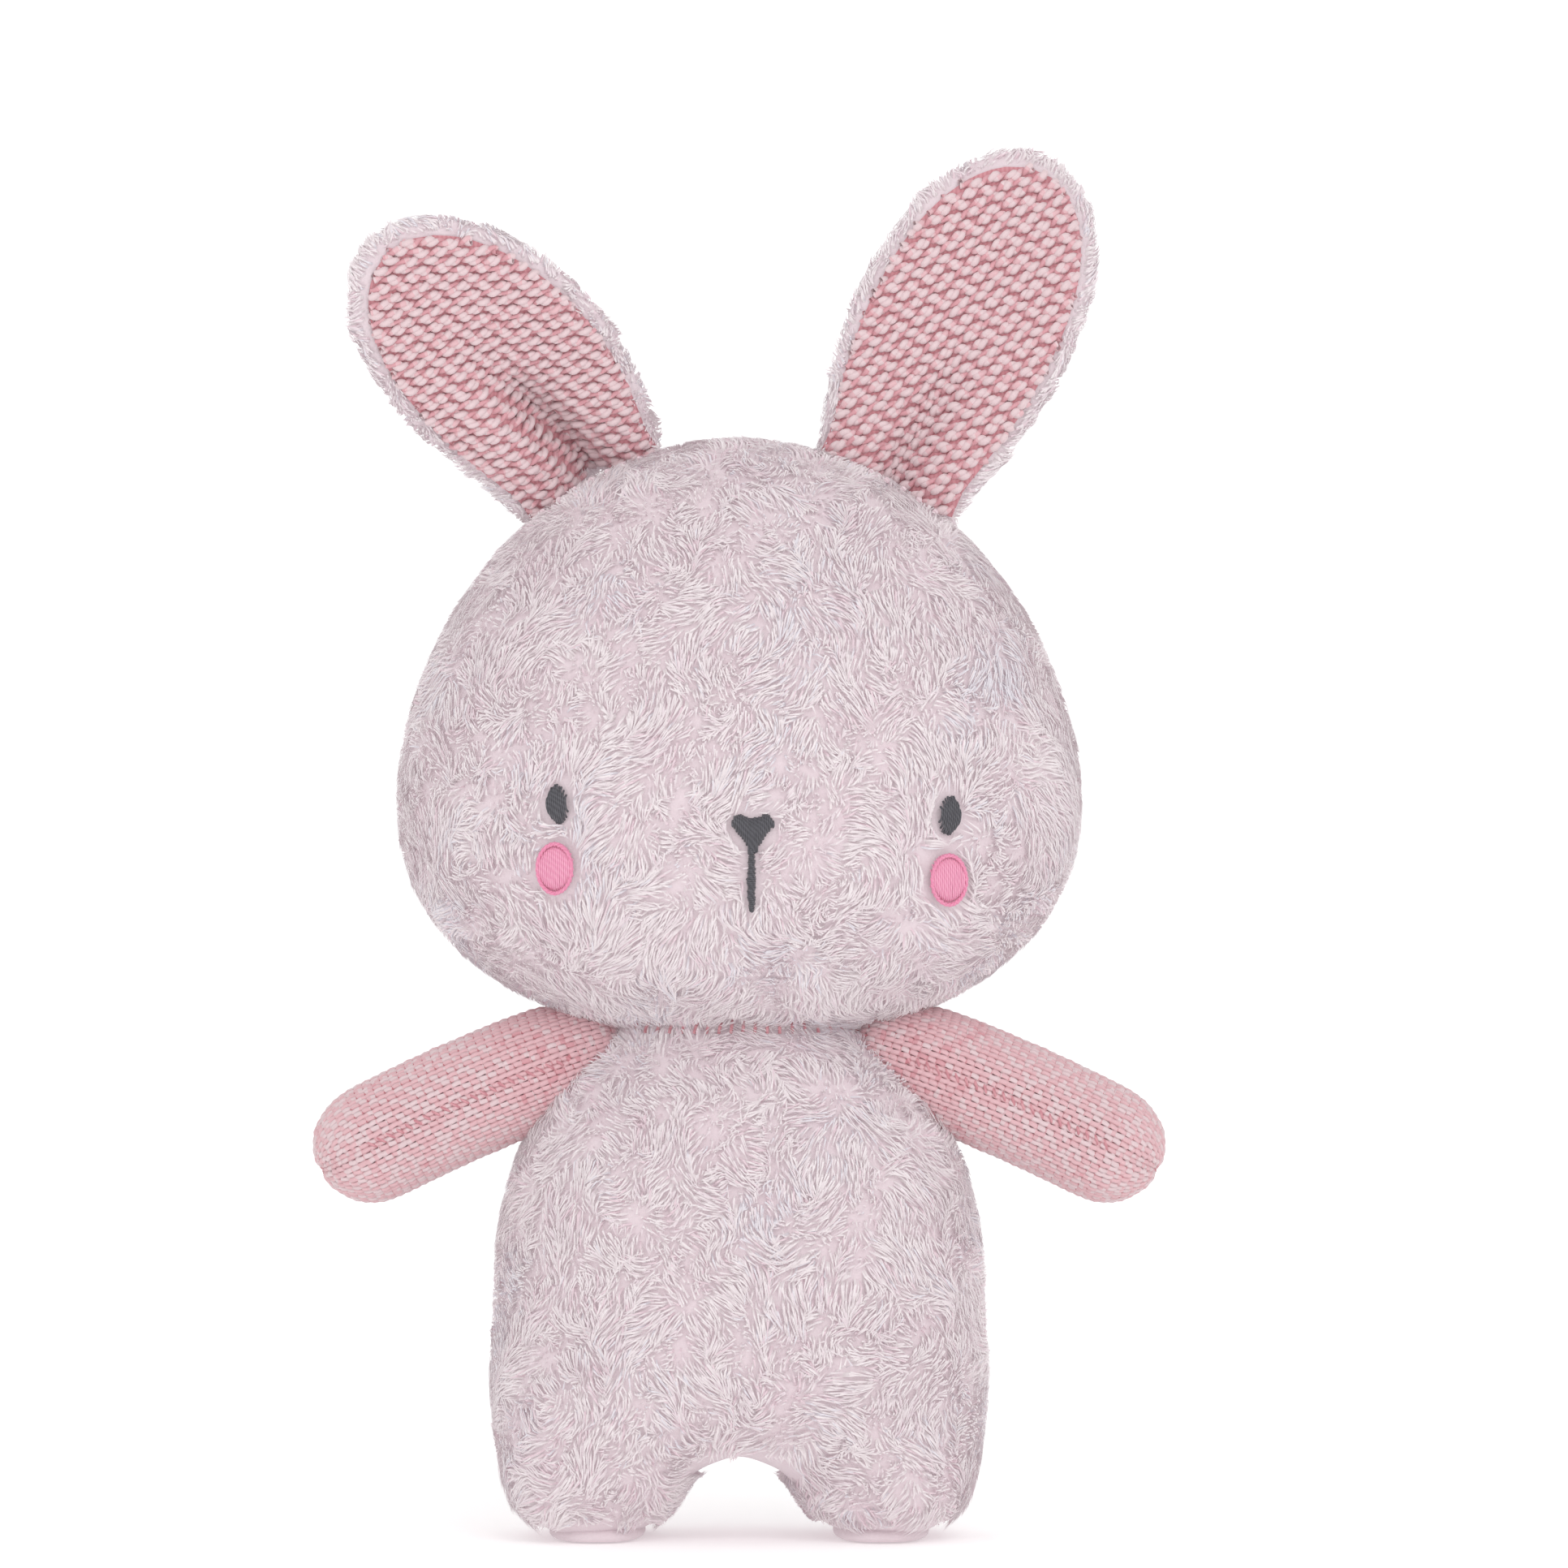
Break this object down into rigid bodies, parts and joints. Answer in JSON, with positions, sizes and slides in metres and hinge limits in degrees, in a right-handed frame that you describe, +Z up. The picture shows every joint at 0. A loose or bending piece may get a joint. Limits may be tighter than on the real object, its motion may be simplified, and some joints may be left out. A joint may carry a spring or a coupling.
{
  "type": "stuffed bunny toy",
  "caption": "Soft stuffed bunny with a large rounded plush head, upright ears with knitted linings, knitted arms, a pear-shaped body on short legs and an embroidered face.",
  "frame": {"origin": "on the floor midway between the feet, under the middle of the toy", "axes": "+Z up along the height of the toy, -Y the way the face looks, +X the toy's own left"},
  "size_m": [0.2034, 0.1049, 0.3332],
  "materials": {
    "charcoal_thread": "matte",
    "pink_thread": "matte",
    "sewing_thread": "matte",
    "label_tape": "matte",
    "fibre_filling": "matte",
    "rose_knit": "matte",
    "rose_yarn": "matte",
    "pink_plush": "matte"
  },
  "bodies": {
    "torso": {"body_front": "pink_plush", "body_back": "pink_plush", "body_stuffing": "fibre_filling", "neck_stitches": "sewing_thread", "closing_stitches": "sewing_thread", "care_label": "label_tape"},
    "neck": {"neck_stuffing": "fibre_filling"},
    "head": {"head_front": "pink_plush", "head_back": "pink_plush", "head_stuffing": "fibre_filling", "left_eye": "charcoal_thread", "right_eye": "charcoal_thread", "nose": "charcoal_thread", "mouth": "charcoal_thread", "left_cheek": "pink_thread", "right_cheek": "pink_thread", "left_ear_stitches": "sewing_thread", "right_ear_stitches": "sewing_thread"},
    "left_ear": {"left_ear_back": "pink_plush", "left_ear_lining": "rose_knit", "left_ear_wadding": "fibre_filling"},
    "left_shoulder": {"left_shoulder_gather": "rose_knit"},
    "left_arm": {"left_arm_knit": "rose_knit", "left_arm_stuffing": "fibre_filling", "left_arm_seam": "rose_yarn"},
    "left_leg": {"left_leg_front": "pink_plush", "left_leg_back": "pink_plush", "left_leg_stuffing": "fibre_filling", "left_sole": "pink_plush"},
    "right_ear": {"right_ear_back": "pink_plush", "right_ear_lining": "rose_knit", "right_ear_wadding": "fibre_filling"},
    "right_shoulder": {"right_shoulder_gather": "rose_knit"},
    "right_arm": {"right_arm_knit": "rose_knit", "right_arm_stuffing": "fibre_filling", "right_arm_seam": "rose_yarn"},
    "right_leg": {"right_leg_front": "pink_plush", "right_leg_back": "pink_plush", "right_leg_stuffing": "fibre_filling", "right_sole": "pink_plush"}
  },
  "joints": [
    {"name": "neck_turn", "type": "hinge", "parent": "torso", "child": "neck", "pos_m": [0, 0, 0.118], "axis": [0, 0, 1], "range_deg": [-30, 30], "stiffness_Nm_per_rad": 0.6},
    {"name": "head_nod", "type": "hinge", "parent": "neck", "child": "head", "pos_m": [0, 0, 0.118], "axis": [1, 0, 0], "range_deg": [-12, 12], "stiffness_Nm_per_rad": 2},
    {"name": "left_ear_flop", "type": "hinge", "parent": "head", "child": "left_ear", "pos_m": [0.03741, 0, 0.25472], "axis": [0.9107, 0, -0.4131], "range_deg": [-45, 55], "stiffness_Nm_per_rad": 0.05},
    {"name": "right_ear_flop", "type": "hinge", "parent": "head", "child": "right_ear", "pos_m": [-0.03763, 0, 0.2546], "axis": [0.859, 0, 0.512], "range_deg": [-60, 30], "stiffness_Nm_per_rad": 0.05},
    {"name": "left_arm_raise", "type": "hinge", "parent": "torso", "child": "left_shoulder", "pos_m": [0.045, 0, 0.1105], "axis": [0, -1, 0], "range_deg": [-12, 20], "stiffness_Nm_per_rad": 0.1},
    {"name": "left_arm_swing", "type": "hinge", "parent": "left_shoulder", "child": "left_arm", "pos_m": [0.045, 0, 0.1105], "axis": [0, 0, -1], "range_deg": [-35, 48], "stiffness_Nm_per_rad": 0.05},
    {"name": "right_arm_raise", "type": "hinge", "parent": "torso", "child": "right_shoulder", "pos_m": [-0.045, 0, 0.1105], "axis": [0, 1, 0], "range_deg": [-12, 20], "stiffness_Nm_per_rad": 0.1},
    {"name": "right_arm_swing", "type": "hinge", "parent": "right_shoulder", "child": "right_arm", "pos_m": [-0.045, 0, 0.1105], "axis": [0, 0, 1], "range_deg": [-35, 48], "stiffness_Nm_per_rad": 0.05},
    {"name": "left_leg_flex", "type": "hinge", "parent": "torso", "child": "left_leg", "pos_m": [0, 0, 0.06], "axis": [1, 0, 0], "range_deg": [-18, 18], "stiffness_Nm_per_rad": 6},
    {"name": "right_leg_flex", "type": "hinge", "parent": "torso", "child": "right_leg", "pos_m": [0, 0, 0.06], "axis": [1, 0, 0], "range_deg": [-18, 18], "stiffness_Nm_per_rad": 6}
  ]
}
